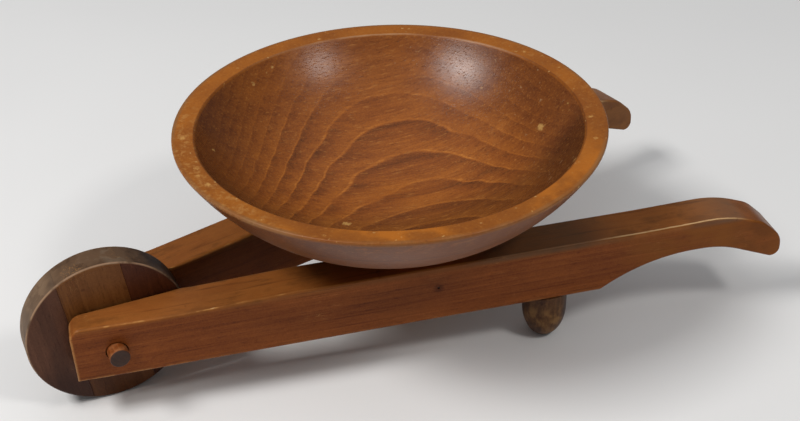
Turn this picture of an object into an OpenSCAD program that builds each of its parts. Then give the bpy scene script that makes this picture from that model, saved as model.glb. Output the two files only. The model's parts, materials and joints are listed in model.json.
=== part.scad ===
// Table centrepiece in the form of a wheelbarrow: a turned bowl on two splayed rails, with a wheel
// between them at the front, two turned feet under them and a carved handle on the end of each.
// +X points from the wheel to the handles, +Z up. The origin is on the table, under the middle of
// the object's length. The left rail is the one on the -Y side.

/* [Bowl] */
// Outer radius of the bowl at its rim
bowl_rim_r = 140.5; // [117:0.5:169]
// Height of the bowl from its base to its rim
bowl_h = 76; // [66:0.5:90]
// Radius of the flat middle of the bowl's inside
bowl_flat_r = 13; // [10:0.5:16]
// Thickness of the bowl's curved wall
bowl_wall = 12.6; // [10.5:0.1:15.2]
// Thickness of the bowl's floor
bowl_floor = 12.7; // [10.5:0.1:15.3]
// How far the rim's top falls from its outer edge to its inner edge
rim_fall = 1; // [0.8:0.1:1.6]
// Height of the short upright edge round the outside of the rim
rim_band = 2; // [1.5:0.1:2.5]
// Radius of the base that the bowl stands on
bowl_base_r = 57; // [48:0.5:68]
// Height of the edge of the bowl's base
bowl_base_h = 7; // [6:0.5:8]
// Distance from the axle back to the bowl's centre
bowl_x = 201.5; // [190:0.5:240]

/* [Rails] */
// Distance along a rail from the axle to the tip of its handle
rail_reach = 452.7; // [430:0.1:545]
// Length of a rail in front of the axle
rail_nose = 27; // [22:0.5:33]
// Thickness of a rail
rail_t = 28; // [23:0.5:34]
// Height of a rail
rail_h = 41.8; // [35:0.1:50.5]
// Height of the axle above a rail's lower edge
axle_v = 19.6; // [17:0.1:23.6]
// Angle of a rail away from the middle line
rail_splay = 10.1; // [8.4:0.1:12.2]
// Angle at which the rails climb towards the handles
rail_pitch = 1.3; // [1:0.05:1.6]
// Thickness of rail left beside the wheel, at the axle
cheek_t = 19.3; // [16:0.1:23.2]
// Depth of the shallow hollow along the front of a rail's top edge
scoop_depth = 2.8; // [2:0.1:3.4]
// Distance from the axle to the back end of that hollow
scoop_end = 113; // [95:1:125]
// Radius of the upper front corner of a rail
nose_r = 8; // [5:0.5:10]

/* [Handles] */
// Length of a handle, from its tip to where its underside leaves the rail
handle_len = 132; // [110:1:158]
// Depth of a handle at its narrowest
grip_depth = 22.4; // [18.5:0.1:27]
// Angle at which the underside climbs into the grip
grip_climb = 32; // [27:1:38]
// Length of the drooping end of a handle
droop_len = 46; // [40:1:55]
// How far a handle's hump stands above the rail's top edge
hump_rise = 1.2; // [0.8:0.1:1.5]
// Height of the blunt face at a handle's tip
tip_face = 18.4; // [15.5:0.1:22]

/* [Wheel] */
// Radius of the wheel
wheel_r = 51.5; // [43:0.5:62]
// Thickness of the wheel
wheel_t = 20.3; // [17:0.1:24.4]
// Gap between the wheel and a rail
wheel_gap = 1.85; // [1.5:0.05:2.5]
// Distance from the axle to the joint in front of it
front_joint = 21.5; // [18:0.5:25]
// Distance from the axle to the joint behind it
rear_joint = 19; // [16:0.5:22.5]
// Angle by which the joints lean forwards from upright
joint_lean = 7.5; // [0:0.5:12]
// Width of the worn corners of the wheel's rim
wheel_wear = 1; // [0.5:0.1:1.5]

/* [Axle] */
// Radius of the axle
axle_r = 6.35; // [5.3:0.05:7.6]
// Room all round the axle in the rails
axle_play = 0.7; // [0.4:0.05:1]
// How far each end of the axle stands out of its rail
axle_stand = 8.1; // [6.5:0.1:10]
// Chamfer on the ends of the axle
axle_chamfer = 0.8; // [0.5:0.1:1]

/* [Feet] */
// Distance along a rail from the axle to its foot
foot_reach = 285.6; // [275:0.1:316]
// Radius of a foot
foot_r = 15.1; // [12.6:0.1:18.1]
// Length of a foot's rounded end
foot_round = 25; // [20:0.5:30]
// Chamfer round a foot's top
foot_shoulder = 1.2; // [0.8:0.1:1.6]
// Depth worn off the tip of a foot
foot_wear = 0.8; // [0.5:0.1:1]
// Radius of the tenon on a foot
tenon_r = 6; // [5:0.1:7.2]
// Length of the tenon on a foot
tenon_len = 20; // [17:0.5:24]

/* [Crosspiece] */
// Width of the crosspiece, along the object
crosspiece_w = 60; // [50:1:72]
// Thickness of the crosspiece
crosspiece_t = 28; // [24:0.5:33]
// Radius of the dowels in its ends
dowel_r = 4; // [3.3:0.1:4.8]
// Length of those dowels
dowel_len = 32; // [26:1:38]
// Distance between the two dowels in one end
dowel_pitch = 34; // [28:1:40]
// Radius of a nail
nail_r = 0.9; // [0.75:0.05:1.1]
// Length of a nail
nail_len = 44; // [42:1:52]
// Depth of a nail's head under the rail's face
nail_set = 0.8; // [0.5:0.1:1]
// Distance from the crosspiece's middle back to the nail
nail_offset = 4.5; // [3:0.5:6]
// Distance of the nail below the crosspiece's middle
nail_drop = 2.5; // [1.5:0.5:3.5]

/* [Bowl screws] */
// Radius of a screw's shank
screw_r = 2.1; // [1.8:0.05:2.5]
// Radius of a screw's head
screw_head_r = 4.2; // [3.8:0.05:5]
// Length of a screw
screw_len = 32; // [30:0.5:33]
// Depth of a screw's head under the crosspiece
screw_sink = 5; // [4:0.5:6]
// Distance between the screws
screw_pitch = 36; // [30:1:43]
// Width of the slot in a screw's head
slot_w = 1.1; // [0.9:0.1:1.3]

/* [Hidden] */

$fn = 96;
ARC_STEP = 3;                               // degrees between the points of a rounded corner
CUT = 1;                                    // how far a cut runs past the face it opens

RAIL_WOOD = [0.45, 0.22, 0.12];
BOWL_WOOD = [0.58, 0.30, 0.13];
WHEEL_WOOD = [0.30, 0.15, 0.11];
WHEEL_WOOD_LIGHT = [0.50, 0.28, 0.14];
FOOT_WOOD = [0.38, 0.21, 0.12];
PLAIN_WOOD = [0.68, 0.50, 0.32];
STEEL = [0.62, 0.62, 0.64];

slot_half = wheel_t / 2 + wheel_gap;        // from the middle line to the cheeks beside the wheel
face_y = slot_half + cheek_t;               // a rail's outer face, at the axle
deck_v = rail_h - axle_v;                   // the rails' top edges, above the axle
underside_v = -axle_v;                      // the rails' lower edges, above the axle
tip_x = (rail_reach * cos(rail_splay) + rail_t * sin(rail_splay)) * cos(rail_pitch);
axle_x = (wheel_r - tip_x) / 2;             // puts the origin under the middle of the length

bowl_depth = bowl_h - bowl_floor;
// The wall lies between two arcs about one centre. The outer one reaches from the rim's upright
// edge to arc_drop below the rim, and so the centre stands arc_rise above it.
arc_drop = bowl_depth + bowl_wall;
arc_rise = (pow(bowl_rim_r - bowl_flat_r, 2) + pow(rim_band, 2) - pow(arc_drop, 2))
    / (2 * (arc_drop - rim_band));
outer_arc_r = arc_rise + arc_drop;
inner_arc_r = outer_arc_r - bowl_wall;
rim_inner_r = bowl_flat_r + sqrt(pow(inner_arc_r, 2) - pow(arc_rise + rim_fall, 2));

grip_v = rail_h - grip_depth;               // underside of the grip, above the rail's lower edge
foot_v = wheel_r + underside_v * cos(rail_pitch)
    + (foot_reach * cos(rail_splay) + rail_t / 2 * sin(rail_splay)) * sin(rail_pitch);
// Straight part of the foot, so that the pitched foot would reach foot_wear below the table
round_drop = norm([foot_r * sin(rail_pitch), foot_round * cos(rail_pitch)]);
foot_straight = (foot_v + foot_wear - round_drop) / cos(rail_pitch);

// ---- Outlines with rounded corners: each corner is [x, y, radius] ----

function at(c, i) = c[(i + len(c)) % len(c)];
function spot(c, i) = [at(c, i)[0], at(c, i)[1]];
function side(c, i) = norm(spot(c, i + 1) - spot(c, i));
function heading(c, i) = let (d = spot(c, i + 1) - spot(c, i)) atan2(d[1], d[0]);
function turn(c, i) = let (t = heading(c, i) - heading(c, i - 1)) t - 360 * round(t / 360);
function wish(c, i) = at(c, i)[2] * tan(abs(turn(c, i)) / 2);
// Length that a corner's arc takes from each side, shared where two arcs want the same stretch
function run(c, i) = wish(c, i) * min(
    1,
    side(c, i - 1) / max(wish(c, i) + wish(c, i - 1), 0.001),
    side(c, i) / max(wish(c, i) + wish(c, i + 1), 0.001)
);
function arc(start, h, t, r) = let (n = ceil(abs(t) / ARC_STEP) + 1) [
    for (k = [0 : n])
        start + sign(t) * r * [sin(h + t * k / n) - sin(h), cos(h) - cos(h + t * k / n)]
];
function corner(c, i) = at(c, i)[2] == 0 ? [spot(c, i)] : let (
    h = heading(c, i - 1),
    t = turn(c, i),
    start = spot(c, i) - run(c, i) * [cos(h), sin(h)]
) arc(start, h, t, run(c, i) / tan(abs(t) / 2));
function rounded(c) = [for (i = [0 : len(c) - 1]) each corner(c, i)];

// ---- Places ----

// The rails' frame of reference: its origin on the axle, pitched as the rails are
module on_rails() {
    translate([axle_x, 0, wheel_r]) rotate([0, -rail_pitch, 0]) children();
}

// One rail's own frame: along the rail from the axle, inwards from its outer face (+Y side)
module along_rail() {
    translate([0, face_y, 0]) rotate([0, 0, rail_splay]) children();
}

// A rail's inner face in plan, x back from the axle
function inner_y(x) = face_y - rail_t / cos(rail_splay) + x * tan(rail_splay);
// Distance along a rail's centre line to the point that is x back from the axle
function rail_u(x) = (x - rail_t / 2 * sin(rail_splay)) / cos(rail_splay);

module left_side() {
    mirror([0, 1, 0]) children();
}

module both_sides() {
    children();
    left_side() children();
}

// ---- Rails ----

rail_outline = rounded([
    [-rail_nose, 0, 1],
    [-rail_nose, rail_h - scoop_depth / 2, nose_r],
    [scoop_end / 3, rail_h - scoop_depth, 500],
    [scoop_end, rail_h, 0],
    [rail_reach - 103, rail_h, 150],
    [rail_reach - 41.5, rail_h + hump_rise, 80],
    [rail_reach - 15.5, rail_h - 9, 25],
    [rail_reach, tip_face, 16],
    [rail_reach, 0, 6],
    [rail_reach - droop_len, grip_v, 72],
    [rail_reach - handle_len + grip_v / tan(grip_climb), grip_v, 128],
    [rail_reach - handle_len, 0, 6]
]);

module rail_board() {
    along_rail() translate([0, 0, underside_v]) rotate([90, 0, 0])
        linear_extrude(rail_t) polygon(rail_outline);
}

// The space for the wheel and the hollow for its rim, out of the middle of the rails
module wheel_slot() {
    length = rail_nose + wheel_r + wheel_gap + CUT;
    translate([-rail_nose * 2, -slot_half, -wheel_r])
        cube([length + rail_nose, 2 * slot_half, 2 * wheel_r]);
}

module axle_bore() {
    rotate([-90, 0, 0]) cylinder(h = face_y + rail_t, r = axle_r + axle_play);
}

module dowel_rod(radius, length) {
    rotate([90, 0, 0]) cylinder(h = length, r = radius, center = true, $fn = 48);
}

module crosspiece_dowel_pair() {
    for (offset = [-1, 1])
        along_rail() translate([
            rail_u(bowl_x + offset * dowel_pitch / 2), -rail_t, deck_v - crosspiece_t / 2
        ]) dowel_rod(dowel_r, dowel_len);
}

module nail() {
    along_rail() translate([
        rail_u(bowl_x + nail_offset), -nail_set - nail_len / 2, deck_v - crosspiece_t / 2 - nail_drop
    ]) dowel_rod(nail_r, nail_len);
}

// The hole over a nail's head, from the rail's face down to the nail
module nail_hole() {
    along_rail() translate([
        rail_u(bowl_x + nail_offset), -nail_set / 2, deck_v - crosspiece_t / 2 - nail_drop
    ]) dowel_rod(nail_r, nail_set + 2 * CUT);
}

module rail() {
    color(RAIL_WOOD) on_rails() difference() {
        rail_board();
        wheel_slot();
        rotate([0, rail_pitch, 0]) axle_bore();
        tenon();
        crosspiece_dowel_pair();
        nail();
        nail_hole();
    }
}

module right_rail() {
    rail();
}

module left_rail() {
    left_side() rail();
}

// ---- Feet ----

module tenon() {
    along_rail() translate([foot_reach, -rail_t / 2, underside_v])
        cylinder(h = tenon_len, r = tenon_r, $fn = 48);
}

// Half of a foot's section: a chamfer round its flat top, a straight side and an elliptical end
foot_section = concat(
    [[0, 0], [foot_r - foot_shoulder, 0], [foot_r, -foot_shoulder]],
    [for (a = [0 : 5 : 85]) [foot_r * cos(a), -foot_straight - foot_round * sin(a)]],
    [[0, -foot_straight - foot_round]]
);

module foot_body() {
    along_rail() translate([foot_reach, -rail_t / 2, underside_v])
        rotate_extrude() polygon(foot_section);
}

module foot() {
    color(FOOT_WOOD) difference() {
        on_rails() union() {
            foot_body();
            tenon();
        }
        // the table's surface, which the tip is worn flat to
        translate([0, 0, -foot_r]) cube([4 * rail_reach, 4 * bowl_rim_r, 2 * foot_r], center = true);
    }
}

module right_foot() {
    foot();
}

module left_foot() {
    left_side() foot();
}

// ---- Crosspiece, under the bowl and flush with the rails' top edges ----

crosspiece_front = bowl_x - crosspiece_w / 2;
crosspiece_back = bowl_x + crosspiece_w / 2;

module crosspiece_board() {
    plan = [
        [crosspiece_front, -inner_y(crosspiece_front)], [crosspiece_back, -inner_y(crosspiece_back)],
        [crosspiece_back, inner_y(crosspiece_back)], [crosspiece_front, inner_y(crosspiece_front)]
    ];
    translate([0, 0, deck_v - crosspiece_t]) linear_extrude(crosspiece_t) polygon(plan);
}

module crosspiece() {
    color(PLAIN_WOOD) on_rails() difference() {
        crosspiece_board();
        both_sides() crosspiece_dowel_pair();
        both_sides() nail();
        screws();
        screw_wells();
    }
}

module crosspiece_dowels() {
    color(PLAIN_WOOD) on_rails() both_sides() crosspiece_dowel_pair();
}

module crosspiece_nails() {
    color(STEEL) on_rails() both_sides() nail();
}

// ---- Bowl and the screws that hold it ----

module bowl_section() {
    difference() {
        union() {
            intersection() {
                union() {
                    translate([bowl_flat_r, bowl_h + arc_rise]) circle(outer_arc_r, $fn = 360);
                    square([bowl_flat_r, bowl_h]);
                }
                square([bowl_rim_r, bowl_h]);
            }
            square([bowl_base_r, bowl_base_h]);
        }
        translate([bowl_flat_r, bowl_h + arc_rise]) circle(inner_arc_r, $fn = 360);
        translate([-CUT, bowl_floor]) square([bowl_flat_r + CUT, bowl_h]);
        // the rim's sloping top
        polygon([
            [0, bowl_h - rim_fall], [rim_inner_r, bowl_h - rim_fall],
            [bowl_rim_r, bowl_h], [bowl_rim_r, bowl_h + CUT], [0, bowl_h + CUT]
        ]);
    }
}

module bowl() {
    color(BOWL_WOOD) on_rails() difference() {
        translate([bowl_x, 0, deck_v]) rotate_extrude($fn = 180) bowl_section();
        screws();
    }
}

module screw_shape() {
    head_h = screw_head_r - screw_r;
    cylinder(h = screw_len, r = screw_r, $fn = 48);
    cylinder(h = head_h, r1 = screw_head_r, r2 = screw_r, $fn = 48);
}

module at_screws() {
    for (offset = [-1, 1])
        translate([bowl_x, offset * screw_pitch / 2, deck_v - crosspiece_t + screw_sink]) children();
}

module screws() {
    at_screws() screw_shape();
}

// The wide holes that take the screws' heads up into the crosspiece
module screw_wells() {
    at_screws() translate([0, 0, -screw_sink - CUT])
        cylinder(h = screw_sink + CUT, r = screw_head_r, $fn = 48);
}

module bowl_screws() {
    color(STEEL) on_rails() at_screws() difference() {
        screw_shape();
        cube([slot_w, 3 * screw_head_r, slot_w * 2], center = true);
    }
}

// ---- Wheel, glued up from three boards, and its axle ----

module wheel_blank() {
    half = wheel_t / 2;
    rotate([90, 0, 0]) rotate_extrude($fn = 180) polygon([
        [0, -half], [wheel_r - wheel_wear, -half], [wheel_r, -half + wheel_wear],
        [wheel_r, half - wheel_wear], [wheel_r - wheel_wear, half], [0, half]
    ]);
}

// The part of the wheel between two joints, given by their distances behind the axle
module wheel_board(from, to) {
    translate([axle_x, 0, wheel_r]) intersection() {
        wheel_blank();
        rotate([0, -joint_lean, 0]) translate([from, -wheel_t, -2 * wheel_r])
            cube([to - from, 2 * wheel_t, 4 * wheel_r]);
    }
}

module wheel_front_board() {
    color(WHEEL_WOOD) wheel_board(-2 * wheel_r, -front_joint);
}

module wheel_middle_board() {
    color(WHEEL_WOOD_LIGHT) difference() {
        wheel_board(-front_joint, rear_joint);
        translate([axle_x, 0, wheel_r]) rotate([90, 0, 0])
            cylinder(h = 2 * wheel_t, r = axle_r, center = true);
    }
}

module wheel_rear_board() {
    color(WHEEL_WOOD) wheel_board(rear_joint, 2 * wheel_r);
}

module axle() {
    half = face_y + axle_stand;
    color(RAIL_WOOD) translate([axle_x, 0, wheel_r]) rotate([90, 0, 0]) {
        cylinder(h = 2 * (half - axle_chamfer), r = axle_r, center = true);
        for (end = [-1, 1])
            scale([1, 1, end]) translate([0, 0, half - axle_chamfer])
                cylinder(h = axle_chamfer, r1 = axle_r, r2 = axle_r - axle_chamfer);
    }
}

left_rail();
right_rail();
crosspiece();
crosspiece_dowels();
crosspiece_nails();
bowl();
bowl_screws();
left_foot();
right_foot();
wheel_front_board();
wheel_middle_board();
wheel_rear_board();
axle();
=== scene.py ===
import json
import math

import bmesh
import bpy
from mathutils import Euler, Matrix, Vector


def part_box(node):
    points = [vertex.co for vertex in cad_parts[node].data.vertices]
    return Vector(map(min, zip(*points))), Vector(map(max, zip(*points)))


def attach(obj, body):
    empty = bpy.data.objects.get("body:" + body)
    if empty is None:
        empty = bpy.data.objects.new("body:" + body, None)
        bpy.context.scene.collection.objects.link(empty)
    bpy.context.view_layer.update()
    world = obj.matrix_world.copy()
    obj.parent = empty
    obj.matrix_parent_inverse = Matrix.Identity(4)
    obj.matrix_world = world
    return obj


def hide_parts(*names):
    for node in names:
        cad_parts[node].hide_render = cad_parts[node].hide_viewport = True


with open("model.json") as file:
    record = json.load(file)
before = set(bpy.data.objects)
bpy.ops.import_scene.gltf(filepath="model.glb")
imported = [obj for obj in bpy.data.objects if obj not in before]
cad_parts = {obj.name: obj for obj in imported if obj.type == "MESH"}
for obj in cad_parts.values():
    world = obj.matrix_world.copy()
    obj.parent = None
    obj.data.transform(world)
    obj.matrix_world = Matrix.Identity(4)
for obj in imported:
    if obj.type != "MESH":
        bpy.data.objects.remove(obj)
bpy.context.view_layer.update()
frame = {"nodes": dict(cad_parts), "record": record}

# ---- Sizes, in metres and radians ----

PITCH = math.radians(1.3)              # the rails climb towards the handles
SPLAY = math.radians(10.1)             # and stand away from the middle line
FACE_Y = 0.0313                        # a rail's outer face, at the axle
RAIL_T = 0.028
RAIL_H = 0.0418
AXLE_V = 0.0196                        # axle above a rail's lower edge
RAIL_NOSE = 0.027
RAIL_REACH = 0.4527
NAIL_ALONG = 0.2067                    # a nail's place along its rail
NAIL_DEPTH = 0.0165                    # and below the rail's top
RAIL_EDGE = 0.0017                     # rounding of a rail's long edges
NOSE_CORNER = 0.0012                   # reach of the nose's small lower rounding
NAIL_CLEAR = 0.0035                    # more than a nail hole's radius
TOUCHING = 1e-5                        # two places this near are one

BOWL_X = 0.2015
BOWL_R = 0.1405
BOWL_H = 0.076
BASE_R = 0.057
BASE_H = 0.007
FLAT_R = 0.013                         # the flat middle of the inside
FLOOR = 0.0127
WALL = 0.0126
RIM_BAND = 0.002                       # the upright edge round the rim
RIM_FALL = 0.001                       # the rim's slope, down towards the inside
RIM_EDGE = 0.0013                      # rounding of the rim's edges
ARC_DROP = BOWL_H - FLOOR + WALL
ARC_RISE = ((BOWL_R - FLAT_R) ** 2 + RIM_BAND**2 - ARC_DROP**2) / (2 * (ARC_DROP - RIM_BAND))
ARC_TOP = BOWL_H + ARC_RISE            # centre of the wall's two arcs, above the base
OUTER_ARC = ARC_RISE + ARC_DROP
INNER_ARC = OUTER_ARC - WALL
RIM_INNER = FLAT_R + math.sqrt(INNER_ARC**2 - (ARC_RISE + RIM_FALL) ** 2)

FOOT_REACH = 0.2856
FOOT_R = 0.0151
FOOT_ROUND = 0.025
FOOT_STRAIGHT = 0.0141
FOOT_SHOULDER = 0.0012
TENON_R = 0.006
TENON_LEN = 0.020

WHEEL_R = 0.0515
WHEEL_HALF = 0.01015
WHEEL_WEAR = 0.001
JOINT_LEAN = math.radians(7.5)         # the wheel's boards lean forwards
AXLE_R = 0.00635

AXLE = Vector(frame["record"]["behaviour"]["joints"][0]["pos_m"])
DECK_V = RAIL_H - AXLE_V


def on_rails(x, y, z):
    """A place in the rails' own frame, which starts at the axle and is pitched as they are."""
    return AXLE + Matrix.Rotation(-PITCH, 3, "Y") @ Vector((x, y, z))


def along_rail(u, w, v, side):
    """A place on a rail: along it from the axle, out from its outer face, above the axle. side is 1 for
    the right rail and -1 for the left."""
    x = u * math.cos(SPLAY) - w * math.sin(SPLAY)
    y = FACE_Y + u * math.sin(SPLAY) + w * math.cos(SPLAY)
    return on_rails(x, side * y, v)


# ---- Modelling ----


def deselect():
    """Leaves edit mode, with nothing selected."""
    if bpy.context.mode != "OBJECT":
        bpy.ops.object.mode_set(mode="OBJECT")
    bpy.ops.object.select_all(action="DESELECT")


def work_on(piece):
    """Makes a piece the only selected one and the active one."""
    deselect()
    piece.select_set(True)
    bpy.context.view_layer.objects.active = piece


def edit(piece):
    """Opens a piece's mesh, with nothing in it selected."""
    work_on(piece)
    bpy.ops.object.mode_set(mode="EDIT")
    bpy.ops.mesh.select_all(action="DESELECT")


def select_edges(piece, test):
    """Selects the edges whose two ends and two faces' angle pass the test."""
    bpy.ops.mesh.select_mode(type="EDGE")
    mesh = bmesh.from_edit_mesh(piece.data)
    found = 0
    for edge in mesh.edges:
        angle = edge.calc_face_angle(0.0) if len(edge.link_faces) == 2 else 0.0
        wanted = test(edge.verts[0].co, edge.verts[1].co, angle)
        edge.select_set(wanted)
        found += wanted
    mesh.select_flush_mode()
    bmesh.update_edit_mesh(piece.data)
    return found


def select_faces(piece, test):
    """Selects the faces whose centre and normal pass the test."""
    bpy.ops.mesh.select_mode(type="FACE")
    mesh = bmesh.from_edit_mesh(piece.data)
    for face in mesh.faces:
        face.select_set(test(face.calc_center_median(), face.normal))
    mesh.select_flush_mode()
    bmesh.update_edit_mesh(piece.data)


def select_points(piece, test):
    """Selects the points whose place passes the test."""
    bpy.ops.mesh.select_mode(type="VERT")
    mesh = bmesh.from_edit_mesh(piece.data)
    for point in mesh.verts:
        point.select_set(test(point.co))
    mesh.select_flush_mode()
    bmesh.update_edit_mesh(piece.data)


def turned(name, section, sides):
    """A turned piece: a disc drawn out ring by ring along half of its section of (radius, height)."""
    deselect()
    radius, height = section[0]
    bpy.ops.mesh.primitive_circle_add(
        vertices=sides, radius=radius, fill_type="NGON", location=(0, 0, height)
    )
    piece = bpy.context.object
    piece.name = name
    bpy.ops.object.transform_apply(location=True)
    edit(piece)
    bpy.ops.mesh.select_mode(type="FACE")
    bpy.ops.mesh.select_all(action="SELECT")
    for next_radius, next_height in section[1:]:
        bpy.ops.mesh.extrude_region_move(
            TRANSFORM_OT_translate={"value": (0, 0, next_height - height)}
        )
        share = next_radius / radius
        bpy.ops.transform.resize(
            value=(share, share, 1), center_override=(0, 0, next_height)
        )
        radius, height = next_radius, next_height
    bpy.ops.mesh.select_all(action="SELECT")
    bpy.ops.mesh.remove_doubles(threshold=1e-6)
    bpy.ops.mesh.normals_make_consistent(inside=False)
    deselect()
    return piece


def put(piece, place, turn):
    """Moves a finished piece to its place and turn, and keeps them in its mesh."""
    work_on(piece)
    piece.location = place
    piece.rotation_euler = turn
    bpy.ops.object.transform_apply(location=True, rotation=True, scale=True)


def board_copy(node, name):
    """A copy of a board's own mesh, welded, with each flat face made one face again."""
    deselect()
    piece = bpy.data.objects.new(name, frame["nodes"][node].data.copy())
    bpy.context.scene.collection.objects.link(piece)
    edit(piece)
    bpy.ops.mesh.select_all(action="SELECT")
    bpy.ops.mesh.remove_doubles(threshold=2e-6)
    bpy.ops.mesh.dissolve_limited(angle_limit=math.radians(0.4))
    bpy.ops.mesh.normals_make_consistent(inside=False)
    bpy.ops.mesh.select_all(action="DESELECT")
    return piece


def smooth(piece, angle=35):
    """Shades a piece smooth, apart from the edges that turn by more than an angle in degrees."""
    work_on(piece)
    bpy.ops.object.shade_smooth_by_angle(angle=math.radians(angle))
    weighted = piece.modifiers.new("even shading", "WEIGHTED_NORMAL")
    weighted.keep_sharp = True
    weighted.weight = 100
    bpy.ops.object.modifier_apply(modifier=weighted.name)


def hand_over(piece, finish, body, node):
    """Gives a finished piece its finish and its body, and hides the node it stands for."""
    piece.data.materials.clear()
    piece.data.materials.append(finish)
    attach(piece, body)
    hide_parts(node)
    return piece


# ---- Finishes: the tools ----


class Field:
    """A number that varies over a surface. Arithmetic on it adds Math nodes."""

    def __init__(self, finish, socket):
        self.finish = finish
        self.socket = socket

    def by(self, operation, *others, clamp=False):
        """The result of a Math node on this field and others."""
        sockets = {0: self}
        for index, other in enumerate(others):
            sockets[index + 1] = other
        settings = {"operation": operation, "use_clamp": clamp}
        return self.finish.node("ShaderNodeMath", settings, sockets)

    def __add__(self, other):
        return self.by("ADD", other)

    __radd__ = __add__

    def __mul__(self, other):
        return self.by("MULTIPLY", other)

    __rmul__ = __mul__

    def __sub__(self, other):
        return self.by("SUBTRACT", other)

    def __rsub__(self, other):
        return self.by("MULTIPLY_ADD", -1.0, other)

    def __truediv__(self, other):
        return self.by("DIVIDE", other)

    def rise(self, low, high):
        """0 below low, 1 above high, eased between them. With high under low it falls instead."""
        if high < low:
            return 1 - self.rise(high, low)
        return self.finish.node(
            "ShaderNodeMapRange",
            {"interpolation_type": "SMOOTHSTEP"},
            {"Value": self, "From Min": low, "From Max": high},
        )

    def ridge(self, low, full_low, full_high, high):
        """1 between the two inner values and 0 outside the two outer ones."""
        return self.rise(low, full_low) * self.rise(high, full_high)


class Finish:
    """One material under construction: its colour, roughness and surface height."""

    def __init__(self, name):
        self.material = bpy.data.materials.new(name)
        self.material.use_nodes = True
        self.tree = self.material.node_tree
        self.shader = next(n for n in self.tree.nodes if n.type == "BSDF_PRINCIPLED")
        self.place = self.node("ShaderNodeTexCoord", {}, {}, "Object")
        self.colour = None
        self.roughness = None
        self.height = None
        self.log = None

    def node(self, kind, settings, sockets, output=0):
        """Adds a node. Its settings come first, then each socket's value or link."""
        made = self.tree.nodes.new(kind)
        for key, value in settings.items():
            if key == "stops":
                ramp = made.color_ramp.elements
                while len(ramp) < len(value):
                    ramp.new(1.0)
                for stop, (position, colour) in zip(ramp, value):
                    stop.position = position
                    stop.color = (*colour, 1)
            else:
                setattr(made, key, value)
        for key, value in sockets.items():
            if isinstance(value, Field):
                self.tree.links.new(value.socket, made.inputs[key])
            else:
                made.inputs[key].default_value = value
        return Field(self, made.outputs[output])

    def turned_to(self, origin, turn):
        """The surface's places as seen from a frame at that origin with that turn."""
        sockets = {"Vector": self.place, "Location": origin, "Rotation": turn}
        return self.node("ShaderNodeMapping", {"vector_type": "TEXTURE"}, sockets)

    def stretched(self, place, scale):
        """Places multiplied by a scale along each axis."""
        return self.node(
            "ShaderNodeVectorMath", {"operation": "MULTIPLY"}, {0: place, 1: scale}
        )

    def axes(self, place):
        """The three coordinates of places."""
        parts = self.node("ShaderNodeSeparateXYZ", {}, {"Vector": place}).socket.node
        return [Field(self, parts.outputs[i]) for i in range(3)]

    def length(self, place):
        """How far places are from their origin."""
        return self.node(
            "ShaderNodeVectorMath", {"operation": "LENGTH"}, {0: place}, "Value"
        )

    def noise(self, place, scale, detail=2.0, roughness=0.5, seed=0.0, output=0):
        """Noise from 0 to 1 over places. seed shifts it, so that no two uses look alike."""
        shifted = self.node(
            "ShaderNodeVectorMath",
            {"operation": "MULTIPLY_ADD"},
            {0: place, 1: scale, 2: (seed, seed * 0.7, seed * 1.3)},
        )
        sockets = {
            "Vector": shifted,
            "Scale": 1.0,
            "Detail": detail,
            "Roughness": roughness,
        }
        return self.node("ShaderNodeTexNoise", {}, sockets, output)

    def mix(self, share, a, b, blend="MIX"):
        """Blends two colours by a share from 0 to 1."""
        settings = {"data_type": "RGBA", "blend_type": blend}
        a = a if isinstance(a, Field) else (*a, 1)
        b = b if isinstance(b, Field) else (*b, 1)
        return self.node("ShaderNodeMix", settings, {0: share, 6: a, 7: b}, 2)

    def tint(self, share, colour, roughness=None):
        """Lays another colour over the finish by a share from 0 to 1."""
        self.colour = self.mix(share, self.colour, colour)
        if roughness is not None:
            self.roughness = self.roughness + share * roughness

    def shade(self, share, colour):
        """Multiplies the finish by a colour, by a share from 0 to 1."""
        self.colour = self.mix(share, self.colour, colour, "MULTIPLY")

    def done(self, bump=0.3, depth=0.0003):
        """Joins colour, roughness and height to the shader, and gives the finished material."""
        link = self.tree.links.new
        link(self.colour.socket, self.shader.inputs["Base Color"])
        link(self.roughness.socket, self.shader.inputs["Roughness"])
        height = self.node(
            "ShaderNodeBump",
            {},
            {"Strength": bump, "Distance": depth, "Height": self.height},
        )
        link(height.socket, self.shader.inputs["Normal"])
        return self.material


# ---- Finishes: the woods ----


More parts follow.
